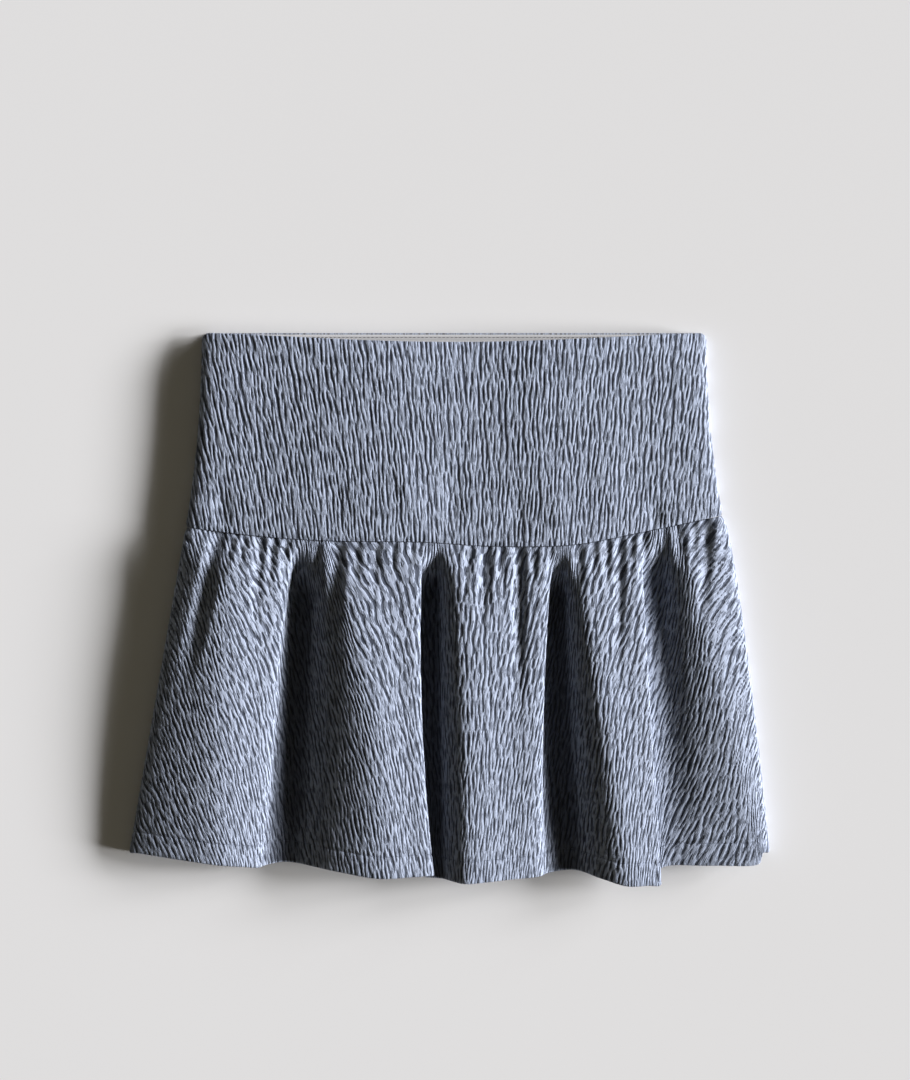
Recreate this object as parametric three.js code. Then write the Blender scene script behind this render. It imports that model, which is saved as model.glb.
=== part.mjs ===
// A pull-on skirt of crinkled jersey, lying flat on its back with the waist towards +Y.
// Two shaped yoke panels go round the hips. Two flared flounce panels are gathered into
// the curved seam below them. A pale elastic band lies inside the waist.
// Millimetres, +Z up. The back lies on z = 0, and the front lies over it in soft folds.
import * as THREE from 'three';

const WALL = 1.4; // the crinkled jersey
const HEM_WALL = 2.3; // the same cloth, turned up and stitched
const HEM_DEPTH = 12;
const SEAM_GAP = 0.3; // between pieces that are sewn to each other
const ELASTIC_WALL = 1.2;
const ELASTIC_WIDTH = 25;
const ELASTIC_BELOW_EDGE = 0.7;

const WAIST_LINE = 164.2; // height of the waist edge up the sheet, at the side seams
const FRONT_DIP = 6; // the front waist edge hangs this much lower at its middle
const DIP_ROUNDING = 1.2; // more than 1 keeps the dip away from the side seams
const CORNER_RADIUS = 5; // of the waist's corners
const CORNER_DROP = 0.8; // how full that rounding is
const WAIST_LEFT = -148.2;
const WAIST_RIGHT = 153.9;
const YOKE_FLARE = 9.6; // each side seam spreads this much down to the yoke seam
const HEM_LEFT = -191.4;
const HEM_RIGHT = 191.4;
const LEFT_HEM_UP = -145.2;
const RIGHT_HEM_UP = -144.6;
const BACK_HEM_SAG = 7;
const FLOUNCE_LENGTH = 198;

const SIDE_RADIUS = 4.2; // how far in the rounded side of the flattened tube reaches
const WAIST_PRESS = 0.12; // share by which the waist mouth is lower than the yoke
const SIDE_PRESS = 0.36; // the same at the side seams
const SIDE_PRESS_REACH = 42; // how far in from a side seam that goes
const WAIST_PRESS_REACH = 0.25; // share of the yoke over which the waist is lower
const LEFT_TOP = [11.5, 11.8, 8]; // the flounce just inside its left side: seam, middle, hem
const RIGHT_TOP = [10, 11, 11.5];
const HEM_LIFT = 1.3; // valley floors clear the doubled hem by this much more
const PUFF = 1.6; // the gathered cloth springs up just below the seam
const PUFF_AT = 14;

// Where the yoke seam runs, from the left side seam to the right one.
const SEAM_LINE = [
  { across: -157.8, up: 48.2 },
  { across: -114, up: 43 },
  { across: -75, up: 40.3 },
  { across: -17, up: 39.4 },
  { across: 25, up: 37 },
  { across: 73, up: 37.8 },
  { across: 113, up: 45 },
  { across: 163.5, up: 55.4 },
];

// Height of the front yoke, share by share of its width.
const YOKE_ROUNDING = [
  { share: 0, height: 10.5 },
  { share: 0.13, height: 12.5 },
  { share: 0.35, height: 15.2 },
  { share: 0.55, height: 13.9 },
  { share: 0.69, height: 14.5 },
  { share: 0.86, height: 11.7 },
  { share: 1, height: 9.4 },
];

// The five rolls of the front flounce, left to right. Each starts at a foot in a valley,
// rises to a crest a share of the way across, and ends at an edge that rolls under.
// Three numbers are at the seam, half way down and at the hem. foot and edge: places
// across. rollUnder: how far the edge goes back under. hem: how far up the sheet the hem
// is at the foot, the crest and the edge.
const ROLLS = [
  {
    name: 'left', foot: null, floor: LEFT_TOP, opens: 24, crestShare: [0.43, 0.54, 0.68],
    crest: [17, 17.5, 15], edge: [-94, -104.7, -113.5], brow: [12, 11.5, 10], rollUnder: [-1, -4, -5],
    hem: [LEFT_HEM_UP, -151.8, -153.6],
  },
  {
    name: 'left middle', foot: [-84, -90, -97.5], floor: [4, 4, 4], opens: 40,
    crestShare: [0.2, 0.56, 0.63], crest: [18, 20, 19], edge: [-16, -16.6, -9.3],
    brow: [14, 15.5, 14.5], rollUnder: [3, 3, 3], hem: [-150.6, -159.2, -158],
  },
  {
    name: 'middle', foot: [-7.5, -8.1, -5.1], floor: [4, 4, 4], opens: 30,
    crestShare: [0.12, 0.24, 0.24], crest: [18, 19, 18], edge: [61, 55.6, 54],
    brow: [14, 14.5, 12], rollUnder: [1, 0, -5], hem: [-160.6, -162.4, -158.6],
  },
  {
    name: 'right middle', foot: [67, 68.4, 74], floor: [4, 4, 4], opens: 36,
    crestShare: [0.15, 0.42, 0.6], crest: [17.5, 19, 18], edge: [113.5, 119.4, 126],
    brow: [14, 15, 13.5], rollUnder: [3, 3, 2], hem: [-155.4, -163.8, -163.6],
  },
  {
    name: 'right', foot: [123.6, 129, 127.2], floor: [5, 8.5, 9.5], opens: 34,
    crestShare: [0.35, 0.66, 0.95], crest: [13.5, 14.5, 13], edge: null, brow: RIGHT_TOP,
    rollUnder: null, hem: [-153.4, -151, RIGHT_HEM_UP],
  },
];

const FLANK = { along: 0.5, rise: 0.7 }; // between a roll's foot and its crest
const BROW = { along: 0.62, fall: 0.46 }; // between its crest and its edge
const UNDER_FALL = 0.6; // between its edge and the next valley's floor

// Short gathers that fade out below the seam: across at the seam and where they fade.
const GATHERS = [
  { across: -136.5, fade: -160, reach: 105, depth: 2.2, width: 8 },
  { across: -112.5, fade: -115.5, reach: 62, depth: 1.5, width: 5.5 },
  { across: -66, fade: -69, reach: 64, depth: 1.8, width: 7 },
  { across: -43.2, fade: -45, reach: 34, depth: 1.2, width: 5 },
  { across: 22.2, fade: 18, reach: 60, depth: 1.7, width: 6 },
  { across: 42, fade: 40.2, reach: 112, depth: 1.9, width: 6.5 },
  { across: 77.4, fade: 76, reach: 34, depth: 1.2, width: 5 },
  { across: 102, fade: 99, reach: 90, depth: 1.6, width: 6 },
  { across: 136, fade: 140, reach: 30, depth: 1.1, width: 5 },
  { across: 153.6, fade: 150, reach: 74, depth: 1.7, width: 6 },
];

// The back lies flat, but for soft channels that run down from its own gathers.
const BACK_CHANNELS = [
  { across: -126, fade: -138, reach: 150, depth: 1.5, width: 7 },
  { across: -104, fade: -110, reach: 50, depth: 1.2, width: 5 },
  { across: -58, fade: -66, reach: 130, depth: 1.7, width: 8 },
  { across: -34, fade: -36, reach: 46, depth: 1.2, width: 5 },
  { across: 14, fade: 15, reach: 60, depth: 1.3, width: 5 },
  { across: 36, fade: 40, reach: 160, depth: 1.8, width: 8 },
  { across: 84, fade: 90, reach: 44, depth: 1.2, width: 5 },
  { across: 104, fade: 116, reach: 120, depth: 1.5, width: 7 },
  { across: 140, fade: 150, reach: 54, depth: 1.2, width: 5 },
];

const YOKE_SHARES = [0, 0.06, 0.12, 0.18, 0.25, 0.4, 0.6, 0.8, 1];
const FLOUNCE_SHARES = [0, 0.04, 0.085, 0.14, 0.2, 0.28, 0.38, 0.5, 0.63, 0.77, 0.88, 0.935, 0.94, 1];
const BACK_FLOUNCE_SHARES = [0, 0.06, 0.14, 0.26, 0.42, 0.6, 0.78, 0.935, 0.94, 1];
const SIDE_STEPS = 2;
const YOKE_STEPS = 5;
const ROLL_STEPS = { toFlank: 4, toCrest: 4, toBrow: 4, toEdge: 4, toUnder: 2, toFoot: 3 };
const BACK_STEPS = 44;
const BACK_SIDE_STEPS = 4;

const jersey = new THREE.MeshStandardMaterial({ color: 0x77808f, roughness: 0.92, metalness: 0 });
const elastic = new THREE.MeshStandardMaterial({ color: 0xc9ccd2, roughness: 0.85, metalness: 0 });

const mix = THREE.MathUtils.lerp;
const ease = THREE.MathUtils.smoothstep;

// A value from a table, on a smooth curve through its rows.
function readRows(rows, key, value, at) {
  const last = rows.length - 1;
  const slope = (i) => {
    const before = rows[Math.max(i - 1, 0)];
    const after = rows[Math.min(i + 1, last)];
    return (after[value] - before[value]) / (after[key] - before[key]);
  };
  let i = 0;
  while (i < last - 1 && at > rows[i + 1][key]) i += 1;
  const span = rows[i + 1][key] - rows[i][key];
  const s = THREE.MathUtils.clamp((at - rows[i][key]) / span, 0, 1);
  const rise = s * s * (3 - 2 * s);
  return rows[i][value] * (1 - rise) + rows[i + 1][value] * rise
    + span * s * (1 - s) * ((1 - s) * slope(i) - s * slope(i + 1));
}

// A value at the seam, half way and the hem, on a smooth bend between them.
function bend([top, middle, bottom], share) {
  return top * (1 - share) * (1 - 2 * share) + middle * 4 * share * (1 - share)
    + bottom * share * (2 * share - 1);
}

const seamUp = (across) => readRows(SEAM_LINE, 'across', 'up', across);

function yokeSides(share) {
  const flare = YOKE_FLARE * share * share;
  return { left: WAIST_LEFT - flare, right: WAIST_RIGHT + flare };
}

function flounceSides(share) {
  const seam = yokeSides(1);
  return {
    left: mix(seam.left, HEM_LEFT, share),
    right: mix(seam.right, HEM_RIGHT, share ** 0.72),
  };
}

// How high the front yoke lies, lower towards the waist mouth.
function yokeHeight(across, share) {
  const { left, right } = yokeSides(share);
  const height = readRows(YOKE_ROUNDING, 'share', 'height', (across - left) / (right - left));
  const press = Math.max(0, 1 - share / WAIST_PRESS_REACH);
  const inward = Math.min(across - left, right - across);
  const pressed = mix(SIDE_PRESS, WAIST_PRESS, ease(inward, 0, SIDE_PRESS_REACH));
  return height * (1 - pressed * press * press);
}

// How much the gathers of a table lower or raise the cloth, at a distance below the seam.
function gatherDepth(table, across, below, settle) {
  return table.reduce((sum, gather) => {
    const centre = mix(gather.across, gather.fade, Math.min(below / gather.reach, 1));
    const off = Math.abs(across - centre) / gather.width;
    if (off >= 1) return sum;
    const profile = (0.5 + 0.5 * Math.cos(Math.PI * off)) * ease(below, -settle, settle);
    return sum + gather.depth * profile * (1 - ease(below, 0.35 * gather.reach, gather.reach));
  }, 0);
}

// Points on a smooth curve through the marks. Each mark says how many steps lead to the next.
function smoothSection(marks) {
  const points = marks.map(({ across, hem = 0, height }) => new THREE.Vector3(across, hem, height));
  const curve = new THREE.CatmullRomCurve3(points, false, 'centripetal');
  const section = [points[0]];
  marks.slice(0, -1).forEach((mark, i) => {
    for (let step = 1; step <= mark.steps; step += 1) {
      section.push(curve.getPoint((i + step / mark.steps) / (marks.length - 1)));
    }
  });
  return section;
}

// The rounded side of the tube, from the side seam to its top. inward is 1 on the left.
function sideMarks(edge, top, inward, steps) {
  const middle = top / 2;
  const turn = Math.SQRT1_2;
  return [
    { across: edge, height: middle + SEAM_GAP / 2, steps },
    {
      across: edge + inward * SIDE_RADIUS * (1 - turn),
      height: middle + (top - middle) * turn,
      steps,
    },
    { across: edge + inward * SIDE_RADIUS, height: top, steps },
  ];
}

function yokeUp(across, share, dip) {
  const { left, right } = yokeSides(share);
  const middle = Math.sin(Math.PI * THREE.MathUtils.clamp((across - left) / (right - left), 0, 1));
  const fromCorner = Math.max(0, CORNER_RADIUS - Math.max(0, Math.min(across - left, right - across)));
  const corner = CORNER_RADIUS - Math.sqrt(CORNER_RADIUS ** 2 - fromCorner ** 2);
  const waist = WAIST_LINE - dip * middle ** DIP_ROUNDING - corner * CORNER_DROP;
  return mix(waist, seamUp(across) + SEAM_GAP / 2, share);
}

function frontYokeRow(share) {
  const { left, right } = yokeSides(share);
  const leftSide = sideMarks(left, yokeHeight(left, share), 1, SIDE_STEPS);
  const rightSide = sideMarks(right, yokeHeight(right, share), -1, SIDE_STEPS).reverse();
  leftSide[2].steps = YOKE_STEPS;
  const middle = YOKE_ROUNDING.slice(1, -1).map((row) => {
    const across = mix(left, right, row.share);
    return { across, height: yokeHeight(across, share), steps: YOKE_STEPS };
  });
  return smoothSection([...leftSide, ...middle, ...rightSide]).map((point) => (
    point.setY(yokeUp(point.x, share, FRONT_DIP))
  ));
}

// One row of a panel that lies on its back: a rounded side, the flat, a rounded side.
function backRow({ left, right }, { leftTop, rightTop }, upAt, liftAt) {
  const row = [];
  const side = (edge, top, inward, turn) => {
    const middle = top / 2;
    row.push(new THREE.Vector3(
      edge + inward * SIDE_RADIUS * (1 - Math.cos(turn)),
      0,
      (middle - SEAM_GAP / 2) * (1 - Math.sin(turn)),
    ));
  };
  for (let i = 0; i < BACK_SIDE_STEPS; i += 1) {
    side(left, leftTop, 1, (Math.PI / 2) * (i / BACK_SIDE_STEPS));
  }
  for (let i = 0; i <= BACK_STEPS; i += 1) {
    const across = mix(left + SIDE_RADIUS, right - SIDE_RADIUS, i / BACK_STEPS);
    row.push(new THREE.Vector3(across, 0, liftAt(across)));
  }
  for (let i = BACK_SIDE_STEPS - 1; i >= 0; i -= 1) {
    side(right, rightTop, -1, (Math.PI / 2) * (i / BACK_SIDE_STEPS));
  }
  row.forEach((point) => { point.y = upAt(point.x); });
  return row;
}

function backYokeRow(share) {
  const sides = yokeSides(share);
  const tops = { leftTop: yokeHeight(sides.left, share), rightTop: yokeHeight(sides.right, share) };
  return backRow(sides, tops, (across) => yokeUp(across, share, 0), () => 0);
}

function flounceTops(share) {
  const grown = ease(share * FLOUNCE_LENGTH, 0, PUFF_AT);
  const seam = yokeSides(1);
  return {
    leftTop: mix(yokeHeight(seam.left, 1), bend(LEFT_TOP, share), grown),
    rightTop: mix(yokeHeight(seam.right, 1), bend(RIGHT_TOP, share), grown),
  };
}

// The marks of one roll. Near the seam they lie on the yoke's rounding, and the valleys
// open below it.
function rollMarks(roll, next, share, sides, tops) {
  const below = share * FLOUNCE_LENGTH;
  const hemLift = HEM_LIFT * ease(below, FLOUNCE_LENGTH - 3 * HEM_DEPTH, FLOUNCE_LENGTH - HEM_DEPTH);
  const opened = ease(below, 0, roll.opens);
  const foot = roll.foot ? bend(roll.foot, share) : sides.left + SIDE_RADIUS;
  const edge = roll.edge ? bend(roll.edge, share) : sides.right - SIDE_RADIUS;
  const floor = roll.foot ? bend(roll.floor, share) + hemLift : tops.leftTop;
  const brow = roll.edge ? bend(roll.brow, share) : tops.rightTop;
  const top = bend(roll.crest, share);
  const crest = mix(foot, edge, bend(roll.crestShare, share));
  const level = (across, folded) => mix(yokeHeight(across, 1), folded, opened);
  const mark = (across, folded, hem, steps) => ({ across, height: level(across, folded), hem, steps });
  const [hemFoot, hemCrest, hemEdge] = roll.hem;
  const { toFlank, toCrest, toBrow, toEdge, toUnder, toFoot } = ROLL_STEPS;
  const marks = [
    mark(foot, floor, hemFoot, toFlank),
    mark(
      mix(foot, crest, FLANK.along),
      mix(floor, top, FLANK.rise),
      mix(hemFoot, hemCrest, FLANK.along),
      toCrest,
    ),
    mark(crest, top, hemCrest, toBrow),
    mark(
      mix(crest, edge, BROW.along),
      mix(top, brow, BROW.fall),
      mix(hemCrest, hemEdge, BROW.along),
      toEdge,
    ),
  ];
  if (!next) return marks;
  const nextFoot = bend(next.foot, share);
  const nextFloor = bend(next.floor, share) + hemLift;
  const under = mix((edge + nextFoot) / 2, edge - bend(roll.rollUnder, share), ease(below, 0, next.opens));
  marks.push(mark(edge, brow, hemEdge, toUnder));
  marks.push(mark(under, mix(brow, nextFloor, UNDER_FALL), mix(hemEdge, next.hem[0], 0.5), toFoot));
  return marks;
}

function frontFlounceRow(share) {
  const sides = flounceSides(share);
  const tops = flounceTops(share);
  const below = share * FLOUNCE_LENGTH;
  const leftSide = sideMarks(sides.left, tops.leftTop, 1, SIDE_STEPS).slice(0, 2);
  const rightSide = sideMarks(sides.right, tops.rightTop, -1, SIDE_STEPS).reverse();
  leftSide.forEach((mark) => { mark.hem = LEFT_HEM_UP; });
  rightSide.forEach((mark) => { mark.hem = RIGHT_HEM_UP; });
  const rolls = ROLLS.flatMap((roll, i) => rollMarks(roll, ROLLS[i + 1], share, sides, tops));
  const marks = [...leftSide, ...rolls, ...rightSide];
  const puff = PUFF * Math.exp(-(((below - PUFF_AT) / PUFF_AT) ** 2));
  return smoothSection(marks).map((point) => {
    const raised = ease(point.z, 6, 11);
    const ripple = puff * (1 - Math.exp(-below / 4)) - gatherDepth(GATHERS, point.x, below, 6);
    return new THREE.Vector3(
      point.x,
      mix(seamUp(point.x) - SEAM_GAP / 2, point.y, share),
      point.z + raised * ripple,
    );
  });
}

function backFlounceRow(share) {
  const sides = flounceSides(share);
  const below = share * FLOUNCE_LENGTH;
  const hemUp = (across) => {
    const off = (2 * across - sides.left - sides.right) / (sides.right - sides.left);
    return mix(LEFT_HEM_UP, RIGHT_HEM_UP, (1 + off) / 2) - BACK_HEM_SAG * Math.max(0, 1 - off * off);
  };
  const upAt = (across) => mix(seamUp(across) - SEAM_GAP / 2, hemUp(across), share);
  return backRow(sides, flounceTops(share), upAt, (x) => gatherDepth(BACK_CHANNELS, x, below, 10));
}

// Outward normals of a grid of rows. Along a sewn edge they are squared to the seam, so
// that the walls on its two sides stay apart by the same gap.
function gridNormals(rows, outward, { ring = false, squareFirst = false, squareLast = false }) {
  const lastRow = rows.length - 1;
  const lastColumn = rows[0].length - 1;
  return rows.map((row, r) => row.map((point, c) => {
    const down = rows[Math.min(r + 1, lastRow)][c].clone().sub(rows[Math.max(r - 1, 0)][c]);
    const after = ring ? row[(c + 1) % row.length] : row[Math.min(c + 1, lastColumn)];
    const before = ring ? row[(c + row.length - 1) % row.length] : row[Math.max(c - 1, 0)];
    const normal = down.cross(after.clone().sub(before)).multiplyScalar(outward);
    if ((squareFirst && r === 0) || (squareLast && r === lastRow)) normal.y = 0;
    if (!ring && (c === 0 || c === lastColumn)) normal.z = 0;
    return normal.normalize();
  }));
}

function moveIn(rows, normals, distanceAt) {
  return rows.map((row, r) => row.map((point, c) => (
    point.clone().addScaledVector(normals[r][c], -distanceAt(r))
  )));
}

// A closed wall between an outer and an inner grid of points.
function wallGeometry(outer, inner, outward, ring) {
  const width = outer[0].length;
  const height = outer.length;
  const positions = [...outer.flat(), ...inner.flat()].flatMap((point) => point.toArray());
  const index = [];
  const quad = (a, b, c, d) => {
    if (outward > 0) index.push(a, b, c, a, c, d);
    else index.push(a, c, b, a, d, c);
  };
  const shift = width * height;
  const at = (r, c) => r * width + (c % width);
  const columns = ring ? width : width - 1;
  for (let r = 0; r < height - 1; r += 1) {
    for (let c = 0; c < columns; c += 1) {
      quad(at(r, c), at(r + 1, c), at(r + 1, c + 1), at(r, c + 1));
      quad(shift + at(r, c), shift + at(r, c + 1), shift + at(r + 1, c + 1), shift + at(r + 1, c));
    }
    if (!ring) {
      quad(at(r, 0), shift + at(r, 0), shift + at(r + 1, 0), at(r + 1, 0));
      quad(at(r, columns), at(r + 1, columns), shift + at(r + 1, columns), shift + at(r, columns));
    }
  }
  for (let c = 0; c < columns; c += 1) {
    const end = height - 1;
    quad(at(0, c), at(0, c + 1), shift + at(0, c + 1), shift + at(0, c));
    quad(at(end, c), shift + at(end, c), shift + at(end, c + 1), at(end, c + 1));
  }
  const geometry = new THREE.BufferGeometry();
  geometry.setAttribute('position', new THREE.Float32BufferAttribute(positions, 3));
  geometry.setIndex(index);
  geometry.computeVertexNormals();
  return geometry;
}

function named(name, geometry, material) {
  const mesh = new THREE.Mesh(geometry, material);
  mesh.name = name;
  return mesh;
}

function yokePanel(name, rowAt, outward) {
  const rows = YOKE_SHARES.map(rowAt);
  const normals = gridNormals(rows, outward, { squareLast: true });
  return named(name, wallGeometry(rows, moveIn(rows, normals, () => WALL), outward, false), jersey);
}

function flouncePanel(name, shares, rowAt, outward) {
  const rows = shares.map(rowAt);
  const normals = gridNormals(rows, outward, { squareFirst: true });
  const turnedUp = 1 - HEM_DEPTH / FLOUNCE_LENGTH;
  const wallAt = (r) => (shares[r] >= turnedUp ? HEM_WALL : WALL);
  return named(name, wallGeometry(rows, moveIn(rows, normals, wallAt), outward, false), jersey);
}

// The elastic follows the inside of both yokes, one ring from side seam to side seam.
function waistElastic() {
  const length = WAIST_LINE - seamUp(0);
  const top = ELASTIC_BELOW_EDGE / length;
  const bottom = (ELASTIC_BELOW_EDGE + ELASTIC_WIDTH) / length;
  const shares = [top, ...YOKE_SHARES.filter((share) => share > top && share < bottom), bottom];
  const rows = shares.map((share) => [...frontYokeRow(share), ...backYokeRow(share).reverse()]);
  const normals = gridNormals(rows, 1, { ring: true });
  const outer = moveIn(rows, normals, () => WALL + SEAM_GAP);
  const inner = moveIn(rows, normals, () => WALL + SEAM_GAP + ELASTIC_WALL);
  return named('waist_elastic', wallGeometry(outer, inner, 1, true), elastic);
}

const yoke = new THREE.Group();
yoke.add(yokePanel('yoke_front', frontYokeRow, 1));
yoke.add(yokePanel('yoke_back', backYokeRow, -1));
yoke.add(waistElastic());

const flounce = new THREE.Group();
flounce.add(flouncePanel('flounce_front', FLOUNCE_SHARES, frontFlounceRow, 1));
flounce.add(flouncePanel('flounce_back', BACK_FLOUNCE_SHARES, backFlounceRow, -1));

const skirt = new THREE.Group();
skirt.add(yoke, flounce);

export default skirt;
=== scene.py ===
"""A pull-on skirt of crinkled jersey, laid flat and lit low from its right side.

Each panel is a thin closed shell on the form of its solid. Its outer face carries the
crinkle of the jersey, and its hem, waist and seams are finished as sewn edges.
Shapes are worked out in millimetres, in the frame of the model, and stored in metres.
"""
import logging
import math
from dataclasses import dataclass
from enum import Enum
from typing import NamedTuple

import bpy
import numpy as np
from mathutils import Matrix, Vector


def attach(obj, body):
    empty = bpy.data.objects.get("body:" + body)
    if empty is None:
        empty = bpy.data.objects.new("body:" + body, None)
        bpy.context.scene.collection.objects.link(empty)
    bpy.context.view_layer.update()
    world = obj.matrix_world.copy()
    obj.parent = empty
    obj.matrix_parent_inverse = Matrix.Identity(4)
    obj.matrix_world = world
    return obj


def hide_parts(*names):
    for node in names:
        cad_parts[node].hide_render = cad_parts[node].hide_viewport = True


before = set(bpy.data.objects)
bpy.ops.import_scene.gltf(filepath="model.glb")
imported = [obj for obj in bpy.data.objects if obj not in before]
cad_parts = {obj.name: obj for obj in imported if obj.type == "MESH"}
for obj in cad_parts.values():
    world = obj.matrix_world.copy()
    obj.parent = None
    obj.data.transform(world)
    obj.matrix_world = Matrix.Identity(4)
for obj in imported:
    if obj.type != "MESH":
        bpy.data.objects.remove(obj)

log = logging.getLogger("skirt")
MM = 0.001
BODY = "root"
# One millimetre of the cut in the UV map.
UV_PER_MM = 0.01
# Share of its reach where a gather starts to fade.
GATHER_FADE = 0.35
# How far past both ends of its line a crease fades, as a share of the line.
CREASE_LEAD = 0.15
# Step between the three rows that a line of stitches is laid by, as a share of the panel.
STITCH_STEP = 0.004


class Side(Enum):
    """Which way a panel's outer face looks: up from the front, down from the back."""

    FRONT = 1
    BACK = -1


class Roll(NamedTuple):
    """One roll of the front flounce, from its foot in a valley to the edge that rolls under."""

    foot: tuple
    floor: tuple
    opens: float
    crest_share: tuple
    crest: tuple
    edge: tuple
    brow: tuple
    roll_under: tuple
    hem: tuple


class Gather(NamedTuple):
    """A groove of gathered cloth: its place at the seam and where it fades, and its size."""

    across: float
    fade: float
    reach: float
    depth: float
    width: float


class Crease(NamedTuple):
    """A soft trough, or a ridge where depth is negative, between two places on the sheet."""

    start: tuple
    end: tuple
    depth: float
    width: float


@dataclass(frozen=True)
class SkirtSizes:
    """Sizes of the whole skirt in millimetres, the same as in the solids."""

    wall: float = 1.4
    hem_wall: float = 2.3
    hem_depth: float = 12.0
    seam_gap: float = 0.3
    elastic_wall: float = 1.2
    elastic_width: float = 25.0
    elastic_below_edge: float = 0.7
    stitches_below_elastic_edge: float = 1.3
    waist_line: float = 164.2
    front_dip: float = 6.0
    dip_rounding: float = 1.2
    corner_radius: float = 5.0
    corner_drop: float = 0.8
    waist_left: float = -148.2
    waist_right: float = 153.9
    yoke_flare: float = 9.6
    hem_left: float = -191.4
    hem_right: float = 191.4
    hem_bow: float = 0.72
    left_hem_up: float = -145.2
    right_hem_up: float = -144.6
    back_hem_sag: float = 7.0
    flounce_length: float = 198.0
    side_radius: float = 4.2
    waist_press: float = 0.12
    side_press: float = 0.36
    side_press_reach: float = 42.0
    waist_press_reach: float = 0.25
    left_top: tuple = (11.5, 11.8, 8.0)
    right_top: tuple = (10.0, 11.0, 11.5)
    flank_along: float = 0.5
    flank_rise: float = 0.7
    brow_along: float = 0.62
    brow_fall: float = 0.46
    under_fall: float = 0.6
    hem_lift: float = 1.3
    puff: float = 1.6
    puff_at: float = 14.0


SIZES = SkirtSizes()

# The yoke seam from the left side seam to the right one: across, up.
SEAM_LINE = np.array([
    (-157.8, 48.2), (-114, 43), (-75, 40.3), (-17, 39.4),
    (25, 37), (73, 37.8), (113, 45), (163.5, 55.4),
])

# Height of the front yoke, share by share of its width: share, height.
YOKE_ROUNDING = np.array([
    (0, 10.5), (0.13, 12.5), (0.35, 15.2), (0.55, 13.9), (0.69, 14.5), (0.86, 11.7), (1, 9.4),
])

# The five rolls from left to right, as the solid's: seam, half way and hem in each triple.
ROLLS = (
    Roll(None, SIZES.left_top, 24, (0.43, 0.54, 0.68), (17, 17.5, 15), (-94, -104.7, -113.5),
         (12, 11.5, 10), (-1, -4, -5), (SIZES.left_hem_up, -151.8, -153.6)),
    Roll((-84, -90, -97.5), (4, 4, 4), 40, (0.2, 0.56, 0.63), (18, 20, 19), (-16, -16.6, -9.3),
         (14, 15.5, 14.5), (3, 3, 3), (-150.6, -159.2, -158)),
    Roll((-7.5, -8.1, -5.1), (4, 4, 4), 30, (0.12, 0.24, 0.24), (18, 19, 18), (61, 55.6, 54),
         (14, 14.5, 12), (1, 0, -5), (-160.6, -162.4, -158.6)),
    Roll((67, 68.4, 74), (4, 4, 4), 36, (0.15, 0.42, 0.6), (17.5, 19, 18), (113.5, 119.4, 126),
         (14, 15, 13.5), (3, 3, 2), (-155.4, -163.8, -163.6)),
    Roll((123.6, 129, 127.2), (5, 8.5, 9.5), 34, (0.35, 0.66, 0.95), (13.5, 14.5, 13), None,
         SIZES.right_top, None, (-153.4, -151, SIZES.right_hem_up)),
)

# Main gathers of the front flounce, as the solid's.
GATHERS = (
    Gather(-136.5, -160, 105, 2.2, 8), Gather(-112.5, -115.5, 62, 1.5, 5.5),
    Gather(-66, -69, 64, 1.8, 7), Gather(-43.2, -45, 34, 1.2, 5),
    Gather(22.2, 18, 60, 1.7, 6), Gather(42, 40.2, 112, 1.9, 6.5),
    Gather(77.4, 76, 34, 1.2, 5), Gather(102, 99, 90, 1.6, 6),
    Gather(136, 140, 30, 1.1, 5), Gather(153.6, 150, 74, 1.7, 6),
)

# Finer gathers of the front flounce, close under the seam.
FINE_GATHERS = (
    Gather(-128, -137, 34, 1.0, 4), Gather(-121, -127, 26, 0.8, 3.6),
    Gather(-104.5, -109, 40, 1.1, 4), Gather(-97, -99, 28, 0.9, 3.6),
    Gather(-78, -80, 36, 1.0, 4), Gather(-55, -56, 30, 1.0, 4),
    Gather(-33, -34, 24, 0.7, 3.6), Gather(-22, -22.5, 20, 0.6, 3.4),
    Gather(12, 9, 34, 1.0, 4), Gather(31.5, 30, 30, 0.9, 3.8),
    Gather(50, 50, 26, 0.8, 3.6), Gather(60, 60, 30, 0.8, 3.6),
    Gather(86, 86, 26, 0.8, 3.6), Gather(94, 93, 40, 1.0, 4),
    Gather(109, 108, 30, 0.9, 3.8), Gather(116, 115, 45, 1.2, 4.5),
    Gather(128, 131, 30, 0.9, 4), Gather(146, 146, 36, 1.0, 4), Gather(162, 165, 30, 0.8, 4),
)

# Soft channels of the back flounce, as the solid's.
BACK_CHANNELS = (
    Gather(-126, -138, 150, 1.5, 7), Gather(-104, -110, 50, 1.2, 5),
    Gather(-58, -66, 130, 1.7, 8), Gather(-34, -36, 46, 1.2, 5),
    Gather(14, 15, 60, 1.3, 5), Gather(36, 40, 160, 1.8, 8),
    Gather(84, 90, 44, 1.2, 5), Gather(104, 116, 120, 1.5, 7),
    Gather(140, 150, 54, 1.2, 5),
)

# Soft creases of the front yoke, placed one by one.
YOKE_CREASES = (
    Crease((-30, 92), (-17, 44), -0.9, 7), Crease((3, 88), (1, 42), 0.8, 6),
    Crease((90, 96), (99, 50), -0.8, 9), Crease((121, 66), (124, 44), 1.3, 5),
    Crease((-137, 76), (-134, 46), 1.1, 6), Crease((-70, 84), (-66, 44), 0.7, 8),
    Crease((40, 74), (41, 40), 0.7, 6), Crease((62, 80), (66, 40), -0.6, 7),
)


def ease(value: np.ndarray, low: float, high: float) -> np.ndarray:
    """Rise smoothly from 0 at low to 1 at high: 3 s squared less 2 s cubed.

    Args:
        value: numbers to ease.
        low: where the rise starts.
        high: where it ends.

    Returns:
        Shares from 0 to 1.
    """
    s = np.clip((value - low) / (high - low), 0.0, 1.0)
    return s * s * (3 - 2 * s)


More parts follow.
